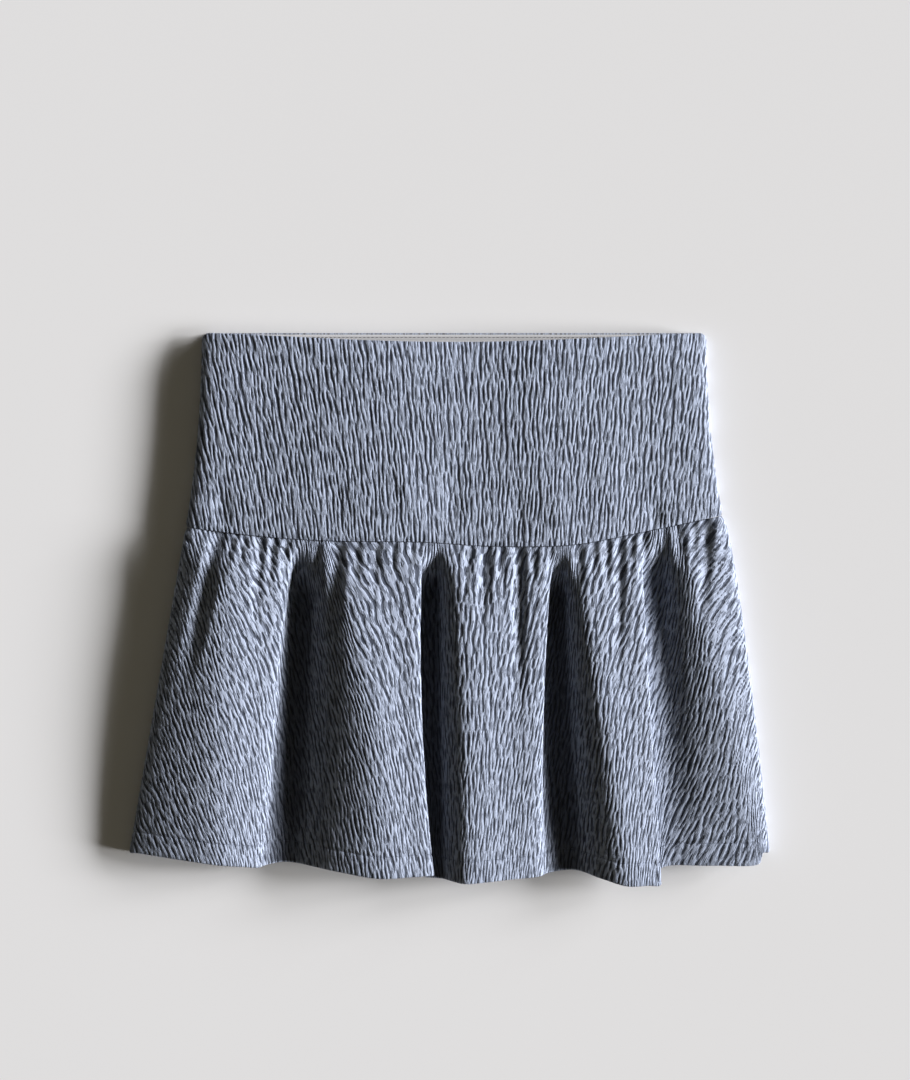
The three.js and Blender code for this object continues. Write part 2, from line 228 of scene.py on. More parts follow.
def mix(a: np.ndarray, b: np.ndarray, share: np.ndarray) -> np.ndarray:
    """Go from a to b by a share: a + (b - a) share."""
    return a + (b - a) * share


def bend(places: tuple, share: np.ndarray) -> np.ndarray:
    """Put a parabola through the places at the seam, half way and the hem.

    Args:
        places: the value at shares 0, 0.5 and 1.
        share: shares of the way down.

    Returns:
        The value at each share.
    """
    top, middle, bottom = places
    return (top * (1 - share) * (1 - 2 * share) + middle * 4 * share * (1 - share)
            + bottom * share * (2 * share - 1))


def read_rows(rows: np.ndarray, at: np.ndarray) -> np.ndarray:
    """Read a two-column table on a smooth curve.

    Between two rows it is the cubic whose slope at each row is that of the line between
    the row's two neighbours.

    Args:
        rows: table of key and value, rising by key.
        at: keys to read at.

    Returns:
        The value at each key.
    """
    keys, values = rows[:, 0], rows[:, 1]
    before = np.maximum(np.arange(len(rows)) - 1, 0)
    after = np.minimum(np.arange(len(rows)) + 1, len(rows) - 1)
    slope = (values[after] - values[before]) / (keys[after] - keys[before])
    i = np.clip(np.searchsorted(keys, at, side="left") - 1, 0, len(rows) - 2)
    span = keys[i + 1] - keys[i]
    s = np.clip((at - keys[i]) / span, 0.0, 1.0)
    rise = s * s * (3 - 2 * s)
    return (values[i] * (1 - rise) + values[i + 1] * rise
            + span * s * (1 - s) * ((1 - s) * slope[i] - s * slope[i + 1]))


def smooth_section(marks: np.ndarray, where: np.ndarray) -> np.ndarray:
    """Run a centripetal Catmull-Rom curve through the marks of each row.

    Args:
        marks: rows x marks x 3 control points.
        where: places along the marks, counted in marks.

    Returns:
        rows x places x 3 points.
    """
    first = 2 * marks[:, :1] - marks[:, 1:2]
    last = 2 * marks[:, -1:] - marks[:, -2:-1]
    points = np.concatenate([first, marks, last], axis=1)
    i = np.clip(np.floor(where).astype(int), 0, marks.shape[1] - 2)
    s = (where - i)[None, :, None]
    p0, p1, p2, p3 = (points[:, i + k] for k in range(4))

    def knot(a: np.ndarray, b: np.ndarray) -> np.ndarray:
        """Give the knot distance of two points, the root of their distance."""
        return np.maximum(np.sum((b - a) ** 2, axis=2, keepdims=True) ** 0.25, 1e-6)

    d0, d1, d2 = knot(p0, p1), knot(p1, p2), knot(p2, p3)
    t1 = ((p1 - p0) / d0 - (p2 - p0) / (d0 + d1) + (p2 - p1) / d1) * d1
    t2 = ((p2 - p1) / d1 - (p3 - p1) / (d1 + d2) + (p3 - p2) / d2) * d1
    return (p1 + t1 * s + (3 * (p2 - p1) - 2 * t1 - t2) * s ** 2
            + (2 * (p1 - p2) + t1 + t2) * s ** 3)


def even_places(section: np.ndarray, where: np.ndarray, spacing: float) -> np.ndarray:
    """Pick places along a section that lie evenly along its length.

    Args:
        section: places x 3 points of one row.
        where: the place of each point.
        spacing: wanted distance in millimetres.

    Returns:
        The picked places.
    """
    steps = np.linalg.norm(np.diff(section, axis=0), axis=1)
    run = np.concatenate([[0.0], np.cumsum(steps)])
    count = int(round(run[-1] / spacing)) + 1
    return np.interp(np.linspace(0.0, run[-1], count), run, where)


def seam_up(across: np.ndarray) -> np.ndarray:
    """Say how far up the sheet the yoke seam runs."""
    return read_rows(SEAM_LINE, across)


def gather_depth(table: tuple, across: np.ndarray, below: np.ndarray, settle: float) -> np.ndarray:
    """Add up the grooves of a table of gathers.

    Each groove is one cosine wave wide, moves from its seam place to its fade place, and
    fades over the last two thirds of its reach.

    Args:
        table: rows of Gather.
        across: places across the sheet.
        below: distances below the seam.
        settle: distance over which a groove forms at the seam.

    Returns:
        Depth of the grooves at each place.
    """
    total = np.zeros(np.broadcast(across, below).shape)
    for gather in table:
        centre = mix(gather.across, gather.fade, np.minimum(below / gather.reach, 1))
        off = np.minimum(np.abs(across - centre) / gather.width, 1)
        profile = (0.5 + 0.5 * np.cos(math.pi * off)) * ease(below, -settle, settle)
        total += gather.depth * profile * (1 - ease(below, GATHER_FADE * gather.reach, gather.reach))
    return total


def crease_depth(table: tuple, across: np.ndarray, up: np.ndarray) -> np.ndarray:
    """Add up soft creases: a bell across each line times a squared half sine along it.

    Args:
        table: rows of Crease.
        across: places across the sheet.
        up: places up the sheet.

    Returns:
        Depth of the creases at each place.
    """
    total = np.zeros(np.broadcast(across, up).shape)
    for crease in table:
        start, end = np.array(crease.start), np.array(crease.end)
        length = np.linalg.norm(end - start)
        along_x, along_y = (end - start) / length
        run = ((across - start[0]) * along_x + (up - start[1]) * along_y) / length
        off = (across - start[0]) * along_y - (up - start[1]) * along_x
        fade = np.sin(math.pi * np.clip((run + CREASE_LEAD) / (1 + 2 * CREASE_LEAD), 0, 1)) ** 2
        total += crease.depth * np.exp(-((off / crease.width) ** 2)) * fade
    return total


@dataclass(frozen=True)
class Crinkle:
    """Puckers of the jersey: long wavy ridges, parted by narrow broken grooves.

    The field is a sum of waves with seeded phases. Most run across the ridges, and their
    small spread lengthways breaks the ridges into uneven cells.
    """

    pitch: float
    run: float
    spread: float = 0.3
    waves: int = 60
    seed: int = 7
    ridge_share: float = 0.6
    ridge_steep: float = 1.5
    ridge_shift: float = 0.4
    soft_steep: float = 0.8

    def field(self, across: np.ndarray, along: np.ndarray) -> np.ndarray:
        """Work out the field, with a mean square of 1.

        Args:
            across: place across the ridges in the cut, in millimetres.
            along: place along them.

        Returns:
            Height of the field at each place.
        """
        rng = np.random.default_rng(self.seed)
        rate = rng.normal(1 / self.pitch, self.spread / self.pitch, self.waves)
        lengthways = rng.normal(0.0, 1 / self.run, self.waves)
        phase = rng.uniform(0.0, 2 * math.pi, self.waves)
        total = np.zeros(across.shape)
        for f, g, p in zip(rate, lengthways, phase):
            total += np.cos(2 * math.pi * (f * across + g * along) + p)
        return total * math.sqrt(2 / self.waves)

    def relief(self, field: np.ndarray) -> np.ndarray:
        """Mix a steep shifted tanh, for flat ridges and narrow grooves, with a soft one."""
        steep = np.tanh(self.ridge_steep * (field + self.ridge_shift))
        return mix(np.tanh(self.soft_steep * field), steep, self.ridge_share)


@dataclass
class Cloth:
    """A grid of points with what its crinkle and finish need."""

    points: np.ndarray
    normals: np.ndarray
    across: np.ndarray
    along: np.ndarray
    field: np.ndarray


def grid_normals(points: np.ndarray, outward: int, ring: bool = False) -> np.ndarray:
    """Find unit normals of a grid: the cross product of its steps down and across.

    Args:
        points: rows x columns x 3.
        outward: 1 if down x across looks out, -1 if it looks in.
        ring: whether the columns close on themselves.

    Returns:
        rows x columns x 3 unit normals.
    """
    down = np.gradient(points, axis=0)
    if ring:
        sideways = np.roll(points, -1, axis=1) - np.roll(points, 1, axis=1)
    else:
        sideways = np.gradient(points, axis=1)
    normals = np.cross(down, sideways) * outward
    return normals / np.maximum(np.linalg.norm(normals, axis=2, keepdims=True), 1e-12)


def quads(a: np.ndarray, b: np.ndarray, c: np.ndarray, d: np.ndarray) -> np.ndarray:
    """Split quads a b c d into triangles a b c and a c d."""
    first = np.stack([a, b, c], axis=-1).reshape(-1, 3)
    second = np.stack([a, c, d], axis=-1).reshape(-1, 3)
    return np.concatenate([first, second])


def grid_faces(index: np.ndarray, outward: int, ring: bool = False) -> np.ndarray:
    """List the triangles of a grid of vertex numbers, looking out.

    The left half is split along one diagonal and the right half along the other, as the
    crinkle leans.

    Args:
        index: rows x columns vertex numbers.
        outward: 1 if down x across looks out, -1 if it looks in.
        ring: whether the columns close on themselves.

    Returns:
        Triangles, three vertex numbers each.
    """
    if ring:
        index = np.concatenate([index, index[:, :1]], axis=1)
    a, b = index[:-1, :-1], index[1:, :-1]
    c, d = index[1:, 1:], index[:-1, 1:]
    half = a.shape[1] // 2
    faces = np.concatenate([quads(a[:, :half], b[:, :half], c[:, :half], d[:, :half]),
                            quads(b[:, half:], c[:, half:], d[:, half:], a[:, half:])])
    return faces if outward > 0 else faces[:, ::-1]


def zip_faces(fine: np.ndarray, coarse: np.ndarray, kept: np.ndarray) -> np.ndarray:
    """Join a fine line of vertices to a coarse one that keeps some of its places.

    Args:
        fine: vertex numbers of the fine line.
        coarse: vertex numbers of the coarse line.
        kept: for each coarse vertex, its place on the fine line.

    Returns:
        Triangles that fill the strip, all turned the same way.
    """
    step = np.arange(len(fine) - 1)
    near = np.searchsorted(kept, step, side="right") - 1
    fans = np.stack([fine[step], fine[step + 1], coarse[near]], axis=1)
    ends = np.stack([fine[kept[1:]], coarse[1:], coarse[:-1]], axis=1)
    return np.concatenate([fans, ends])


class MeshMaker:
    """Collects vertices and triangles and puts them into one Blender mesh."""

    def __init__(self, name: str) -> None:
        """Start an empty mesh of that name."""
        self.name = name
        self.points: list = []
        self.coords: list = []
        self.fields: list = []
        self.painted_shade: list = []
        self.faces: list = []
        self.count = 0

    def add(self, points: np.ndarray, coords: np.ndarray, field: np.ndarray,
            depth: float | np.ndarray = 0.0) -> np.ndarray:
        """Add vertices.

        Args:
            points: ... x 3 places in millimetres.
            coords: ... x 2 places in the cut, in millimetres.
            field: ... crinkle field.
            depth: ... how much shade is painted on each place for lying deep in a fold, from 0 to 1.

        Returns:
            The new vertex numbers, in the shape of field.
        """
        shape = points.shape[:-1]
        number = int(np.prod(shape))
        self.points.append(points.reshape(-1, 3))
        self.coords.append(coords.reshape(-1, 2))
        self.fields.append(field.reshape(-1))
        self.painted_shade.append(np.broadcast_to(depth, shape).reshape(-1))
        index = np.arange(self.count, self.count + number).reshape(shape)
        self.count += number
        return index

    def join(self, faces: np.ndarray) -> None:
        """Add triangles of vertex numbers."""
        self.faces.append(faces.reshape(-1, 3))

    def build(self, material: bpy.types.Material) -> bpy.types.Object:
        """Make the object, with its UV map, crinkle attribute and material.

        Args:
            material: the finish of the whole mesh.

        Returns:
            The new object, at the origin.
        """
        points = np.concatenate(self.points) * MM
        coords = np.concatenate(self.coords)
        faces = np.concatenate(self.faces).astype(np.int32)
        mesh = bpy.data.meshes.new(self.name)
        mesh.vertices.add(len(points))
        mesh.vertices.foreach_set("co", points.astype(np.float32).ravel())
        mesh.loops.add(faces.size)
        mesh.loops.foreach_set("vertex_index", faces.ravel())
        mesh.polygons.add(len(faces))
        mesh.polygons.foreach_set("loop_start", np.arange(0, faces.size, 3, dtype=np.int32))
        mesh.update(calc_edges=True)
        mesh.polygons.foreach_set("use_smooth", np.ones(len(faces), dtype=bool))
        uv = mesh.uv_layers.new(name="cut")
        uv.data.foreach_set("uv", (coords[faces.ravel()] * UV_PER_MM).astype(np.float32).ravel())
        # The depth attribute carries the painted shade of each place, for the finish to darken it by.
        for name, values in (("crinkle", self.fields), ("depth", self.painted_shade)):
            layer = mesh.attributes.new(name, "FLOAT", "POINT")
            layer.data.foreach_set("value", np.concatenate(values).astype(np.float32))
        mesh.validate()
        mesh.materials.append(material)
        obj = bpy.data.objects.new(self.name, mesh)
        bpy.context.scene.collection.objects.link(obj)
        log.info("%s: %d triangles", self.name, len(faces))
        return obj


@dataclass
class Panel:
    """One cut panel of the skirt, as a thin closed shell with a crinkled outer face.

    tuck_from, tuck_to: heights between which the painted shade of a turned-under side fades out.
    """

    name: str
    side: Side
    spacing: float = 0.6
    row_spacing: float = 1.7
    inner_rows: int = 10
    crinkle_depth: float = 0.17
    inner_depth: float = 0.1
    # How much of the crinkle the inner face's finish shows: its painted groove shade and its bump
    # alike.
    inner_tone: float = 0.5
    length: float = 118.0
    crinkle: Crinkle = Crinkle(pitch=2.85, run=19)
    # Painted shade: how much the front's sides are darkened low by the floor, where they turn under.
    tuck_shade: float = 0.7
    tuck_from: float = 2.0
    tuck_to: float = 8.0

    def places(self) -> np.ndarray:
        """Pick the columns of the panel along its section."""
        raise NotImplementedError

    def surface(self, where: np.ndarray, shares: np.ndarray) -> np.ndarray:
        """Work out the plain outer surface, rows x columns x 3, in millimetres."""
        raise NotImplementedError

    def cut(self, points: np.ndarray, shares: np.ndarray) -> tuple:
        """Find where each point lies in the cut, across and along the crinkle."""
        raise NotImplementedError

    def wall(self, shares: np.ndarray) -> np.ndarray:
        """Give the thickness of the wall at each row."""
        return np.full(len(shares), SIZES.wall)

    def pinch(self, points: np.ndarray, shares: np.ndarray) -> np.ndarray:
        """Give how far sewing pulls the outer face in at each point."""
        return np.zeros(points.shape[:2])

    def painted_fold_shade(self, points: np.ndarray, shares: np.ndarray) -> np.ndarray:
        """Give the painted shade of each point, from 0 to 1: on the front, where its sides turn under.
        """
        if self.side is Side.BACK:
            return np.zeros(points.shape[:2])
        return self.tuck_shade * (1 - ease(points[..., 2], self.tuck_from, self.tuck_to))

    def shares(self) -> np.ndarray:
        """List the rows as shares of the panel's length."""
        return np.linspace(0.0, 1.0, int(round(self.length / self.row_spacing)) + 1)

    def cloth(self, where: np.ndarray, shares: np.ndarray, square: tuple) -> Cloth:
        """Work out the plain surface with its normals and crinkle field.

        Args:
            where: columns along the section.
            shares: rows.
            square: whether the first and the last row are sewn edges, squared to the seam.

        Returns:
            The surface as a Cloth.
        """
        points = self.surface(where, shares)
        normals = grid_normals(points, self.side.value)
        for wanted, row in zip(square, (0, -1)):
            if wanted:
                normals[row, :, 1] = 0.0
        normals[:, [0, -1], 2] = 0.0
        normals /= np.linalg.norm(normals, axis=2, keepdims=True)
        across, along = self.cut(points, shares)
        return Cloth(points, normals, across, along, self.crinkle.field(across, along))

    def outer_face(self, cloth: Cloth, shares: np.ndarray) -> np.ndarray:
        """Move the plain surface by its crinkle and its sewing.

        The front moves both ways about its plain surface. The back only moves in, because
        its plain surface is what it lies on.

        Args:
            cloth: the plain surface.
            shares: its rows.

        Returns:
            The points of the outer face.
        """
        relief = self.crinkle.relief(cloth.field)
        if self.side is Side.BACK:
            relief = relief - 1.0
        move = relief * self.crinkle_depth - self.pinch(cloth.points, shares)
        return cloth.points + cloth.normals * move[..., None]

    def inner_face(self, cloth: Cloth, shares: np.ndarray, kept: np.ndarray) -> np.ndarray:
        """Offset the plain surface in by the wall, with a softer crinkle."""
        relief = self.crinkle.relief(cloth.field[kept])
        move = self.inner_depth * relief - self.wall(shares[kept])[:, None]
        return cloth.points[kept] + cloth.normals[kept] * move[..., None]

    def rim(self, outer: np.ndarray, inner: np.ndarray, out: np.ndarray, turns: int) -> np.ndarray:
        """Round an edge: half a circle from the outer to the inner line.

        Args:
            outer: points of the outer line.
            inner: points of the inner line.
            out: unit direction in which the rim bulges.
            turns: points between the two lines.

        Returns:
            turns x points x 3.
        """
        angle = np.linspace(0, math.pi, turns + 2)[1:-1, None, None]
        middle, half = (outer + inner) / 2, (outer - inner) / 2
        radius = np.linalg.norm(half, axis=-1, keepdims=True)
        return middle + half * np.cos(angle) + out * radius * np.sin(angle)

    def shell(self, material: bpy.types.Material, square: tuple, turns: tuple) -> bpy.types.Object:
        """Build the panel as one closed shell.

        Args:
            material: its finish.
            square: whether the first and the last row are sewn edges.
            turns: points in the rim of the first and the last row, 0 for a flat edge.

        Returns:
            The finished object.
        """
        where, shares = self.places(), self.shares()
        kept = self.kept_rows(shares)
        cloth = self.cloth(where, shares, square)
        outer, inner = self.outer_face(cloth, shares), self.inner_face(cloth, shares, kept)
        coords = np.stack([cloth.across, cloth.along], axis=-1)
        maker = MeshMaker(self.name)
        # Painted shade of each point of the outer face, for the finish to darken it by.
        depth = self.painted_fold_shade(cloth.points, shares)
        a = maker.add(outer, coords, cloth.field, depth)
        b = maker.add(inner, coords[kept], cloth.field[kept] * self.inner_tone)
        out = self.side.value
        maker.join(grid_faces(a, out))
        maker.join(grid_faces(b, -out))
        for row, count, sign in ((0, turns[0], -1), (-1, turns[1], 1)):
            bulge = (cloth.points[row] - cloth.points[row - 1 if row else 1])
            bulge = bulge / np.linalg.norm(bulge, axis=-1, keepdims=True)
            lines = [a[row]]
            if count:
                edge = self.rim(outer[row], inner[row], bulge, count)
                spread = np.broadcast_to(coords[row], edge.shape[:-1] + (2,))
                field = np.broadcast_to(cloth.field[row], edge.shape[:-1])
                lines += list(maker.add(edge, spread, field))
            lines.append(b[row])
            maker.join(grid_faces(np.stack(lines), out * sign))
        left = zip_faces(a[:, 0], b[:, 0], kept)
        right = zip_faces(a[:, -1], b[:, -1], kept)
        maker.join(left[:, ::-1] if out > 0 else left)
        maker.join(right if out > 0 else right[:, ::-1])
        return maker.build(material)

    def kept_rows(self, shares: np.ndarray) -> np.ndarray:
        """Pick the rows that the inner face keeps."""
        return np.unique(np.linspace(0, len(shares) - 1, self.inner_rows).round().astype(int))


def yoke_sides(share: np.ndarray) -> tuple:
    """Find the side seams of the yoke, which flare with the square of the share."""
    flare = SIZES.yoke_flare * share ** 2
    return SIZES.waist_left - flare, SIZES.waist_right + flare


def flounce_sides(share: np.ndarray) -> tuple:
    """Find the side seams of the flounce: straight on the left, bowed out on the right."""
    left, right = yoke_sides(np.array(1.0))
    return mix(left, SIZES.hem_left, share), mix(right, SIZES.hem_right, share ** SIZES.hem_bow)


def yoke_height(across: np.ndarray, share: np.ndarray) -> np.ndarray:
    """Give the height of the front yoke, lower towards the waist mouth."""
    left, right = yoke_sides(share)
    height = read_rows(YOKE_ROUNDING, (across - left) / (right - left))
    press = np.maximum(0, 1 - share / SIZES.waist_press_reach)
    inward = np.minimum(across - left, right - across)
    pressed = mix(SIZES.side_press, SIZES.waist_press, ease(inward, 0, SIZES.side_press_reach))
    return height * (1 - pressed * press ** 2)


def yoke_up(across: np.ndarray, share: np.ndarray, dip: float) -> np.ndarray:
    """Give how far up a yoke point lies: from the dipped waist edge to the seam."""
    left, right = yoke_sides(share)
    middle = np.sin(math.pi * np.clip((across - left) / (right - left), 0, 1))
    radius = SIZES.corner_radius
    inward = np.maximum(0, np.minimum(across - left, right - across))
    corner = radius - np.sqrt(radius ** 2 - np.maximum(0, radius - inward) ** 2)
    waist = SIZES.waist_line - dip * middle ** SIZES.dip_rounding - corner * SIZES.corner_drop
    return mix(waist, seam_up(across) + SIZES.seam_gap / 2, share)


def side_marks(edge: np.ndarray, top: np.ndarray, inward: int) -> list:
    """Mark the rounded side of the tube from its side seam to its top.

    Args:
        edge: place of the side seam at each row.
        top: height just inside the side.
        inward: 1 on the left, -1 on the right.

    Returns:
        Pairs of place and height at each row.
    """
    middle, turn = top / 2, math.sqrt(0.5)
    return [
        (edge, middle + SIZES.seam_gap / 2),
        (edge + inward * SIZES.side_radius * (1 - turn), middle + (top - middle) * turn),
        (edge + inward * SIZES.side_radius, top),
    ]


def back_section(where: np.ndarray, sides: tuple, tops: tuple) -> np.ndarray:
    """Lay the back of the tube: a quarter round, the flat, a quarter round.

    Args:
        where: places from -1 at the left seam over 0 to 1 on the flat and 2 at the right.
        sides: left and right side seams at each row.
        tops: heights just inside the left and right sides at each row.

    Returns:
        rows x places x 3 points with no place up the sheet yet.
    """
    left, right = (np.asarray(s)[:, None] for s in sides)
    left_top, right_top = (np.asarray(t)[:, None] for t in tops)
    radius = SIZES.side_radius
    turn_left = np.clip(where + 1, 0, 1)[None] * math.pi / 2
    turn_right = np.clip(2 - where, 0, 1)[None] * math.pi / 2
    flat = mix(left + radius, right - radius, np.clip(where, 0, 1)[None])
    across = np.where(where[None] < 0, left + radius * (1 - np.cos(turn_left)),
                      np.where(where[None] > 1, right - radius * (1 - np.cos(turn_right)), flat))
    lift = np.where(where[None] < 0, (left_top - SIZES.seam_gap) / 2 * (1 - np.sin(turn_left)),
                    np.where(where[None] > 1,
                             (right_top - SIZES.seam_gap) / 2 * (1 - np.sin(turn_right)), 0.0))
    return np.stack([across, np.zeros_like(across), lift], axis=-1)


def back_places(width: float, spacing: float) -> np.ndarray:
    """Pick even places along a back section of that width."""
    turn = SIZES.side_radius * math.pi / 2
    on_side, on_flat = int(turn / spacing) + 1, int(width / spacing)
    return np.concatenate([
        np.linspace(-1, 0, on_side, endpoint=False),
        np.linspace(0, 1, on_flat),
        np.linspace(1, 2, on_side + 1)[1:],
    ])


@dataclass
class YokePanel(Panel):
    """A shaped yoke panel, smooth but for its crinkle."""

    converge: float = 0.0012
    upright_at: float = 30.0
    seam_pinch: float = 0.8
    seam_reach: float = 1.6
    seam_rows: tuple = (0.7, 1.5, 2.6)

    def cut(self, points: np.ndarray, shares: np.ndarray) -> tuple:
        """Find the cut: ridges lean together towards the seam."""
        down = SIZES.waist_line - points[..., 1]
        return (points[..., 0] - self.upright_at) * (1 + self.converge * down), down

    def pinch(self, points: np.ndarray, shares: np.ndarray) -> np.ndarray:
        """Pull the cloth in towards the yoke seam, as a bell of the distance."""
        off = (1 - shares[:, None]) * self.length
        return self.seam_pinch * np.exp(-((off / self.seam_reach) ** 2)) * np.ones(points.shape[:2])

    def shares(self) -> np.ndarray:
        """List the rows, closer together at the seam."""
        even = super().shares()
        return np.unique(np.concatenate([even, 1 - np.array(self.seam_rows) / self.length]))


@dataclass
class FrontYoke(YokePanel):
    """The front yoke, rounded over the back one and dipped at the waist."""

    column_share: float = 0.5
    dense_places: int = 6000
    creased_from: float = 6.0
    creased_to: float = 9.0

    def marks(self, shares: np.ndarray) -> np.ndarray:
        """Mark the section of each row: both rounded sides and the table of heights."""
        left, right = yoke_sides(shares)
        marks = side_marks(left, yoke_height(left, shares), 1)
        for share, _ in YOKE_ROUNDING[1:-1]:
            across = mix(left, right, share)
            marks.append((across, yoke_height(across, shares)))
        marks += side_marks(right, yoke_height(right, shares), -1)[::-1]
        return np.stack([np.stack([x, 0 * x, z], axis=-1) for x, z in marks], axis=1)

    def places(self) -> np.ndarray:
        """Pick even columns at the middle of the yoke."""
        marks = self.marks(np.array([self.column_share]))
        dense = np.linspace(0, marks.shape[1] - 1, self.dense_places)
        return even_places(smooth_section(marks, dense)[0], dense, self.spacing)

    def surface(self, where: np.ndarray, shares: np.ndarray) -> np.ndarray:
        """Run each row's section and lay it between the waist edge and the seam."""
        points = smooth_section(self.marks(shares), where)
        points[..., 1] = yoke_up(points[..., 0], shares[:, None], SIZES.front_dip)
        raised = ease(points[..., 2], self.creased_from, self.creased_to)
        points[..., 2] -= raised * crease_depth(YOKE_CREASES, points[..., 0], points[..., 1])
        return points


@dataclass
class BackYoke(YokePanel):
    """The back yoke, flat on what it lies on."""

    def places(self) -> np.ndarray:
        """Pick even columns round the sides and over the flat."""
        return back_places(SIZES.waist_right - SIZES.waist_left, self.spacing)

    def surface(self, where: np.ndarray, shares: np.ndarray) -> np.ndarray:
        """Lay each row of the flat back between the waist edge and the seam."""
        sides = yoke_sides(shares)
        tops = (yoke_height(sides[0], shares), yoke_height(sides[1], shares))
        points = back_section(where, sides, tops)
        points[..., 1] = yoke_up(points[..., 0], shares[:, None], 0.0)
        return points


def flounce_tops(shares: np.ndarray) -> tuple:
    """Give the heights just inside the flounce's sides, rising from the yoke's."""
    grown = ease(shares * SIZES.flounce_length, 0, SIZES.puff_at)
    left, right = yoke_sides(np.array(1.0))
    one = np.array(1.0)
    return (mix(yoke_height(left, one), bend(SIZES.left_top, shares), grown),
            mix(yoke_height(right, one), bend(SIZES.right_top, shares), grown))


@dataclass
class FlouncePanel(Panel):
    """A flared flounce panel, cut as part of a ring and gathered into the yoke seam.

    seam_rows, stitch_rows: extra rows below the seam and about the hem's stitches.
    opening_rows: rows of the inner face where the valleys open.
    """

    length: float = SIZES.flounce_length
    crinkle: Crinkle = Crinkle(pitch=2.7, run=19, seed=11)
    ring_radius: float = 262.0
    ring_half_angle: float = 0.59
    seam_pinch: float = 0.9
    seam_reach: float = 1.8
    stitch_pinch: float = 0.45
    stitch_reach: float = 0.9
    seam_rows: tuple = (0.8, 2.6)
    stitch_rows: tuple = (-0.9, -0.05, 0.0, 0.9)
    opening_rows: tuple = (4, 8, 12, 16, 20, 25, 30, 35, 41, 48)

    def cut(self, points: np.ndarray, shares: np.ndarray) -> tuple:
        """Find the cut: each column is a radius of the ring, and the ridges stay parallel."""
        turn = np.linspace(-1, 1, points.shape[1])[None] * self.ring_half_angle
        radius = self.ring_radius + shares[:, None] * self.length
        return radius * np.sin(turn), radius * np.cos(turn)

    def wall(self, shares: np.ndarray) -> np.ndarray:
        """Give the wall, doubled at the turned hem."""
        hem = shares >= 1 - SIZES.hem_depth / self.length
        return np.where(hem, SIZES.hem_wall, SIZES.wall)

    def pinch(self, points: np.ndarray, shares: np.ndarray) -> np.ndarray:
        """Pull the cloth in at the yoke seam and along the hem's stitches."""
        below = shares[:, None] * self.length
        stitched = below - (self.length - SIZES.hem_depth)
        pulled = (self.seam_pinch * np.exp(-((below / self.seam_reach) ** 2))
                  + self.stitch_pinch * np.exp(-((stitched / self.stitch_reach) ** 2)))
        return pulled * np.ones(points.shape[:2])

    def shares(self) -> np.ndarray:
        """List the rows, closer together at the seam, the stitches and the hem."""
        stitched = self.length - SIZES.hem_depth
        extra = np.concatenate([self.seam_rows, stitched + np.array(self.stitch_rows)])
        return np.unique(np.concatenate([super().shares(), extra / self.length]))

    def kept_rows(self, shares: np.ndarray) -> np.ndarray:
        """Keep even rows and the step where the hem's turned cloth ends."""
        step = int(np.searchsorted(shares, 1 - SIZES.hem_depth / self.length))
        opening = np.searchsorted(shares, np.array(self.opening_rows) / self.length)
        return np.unique(np.concatenate([super().kept_rows(shares), opening, [step - 1, step]]))


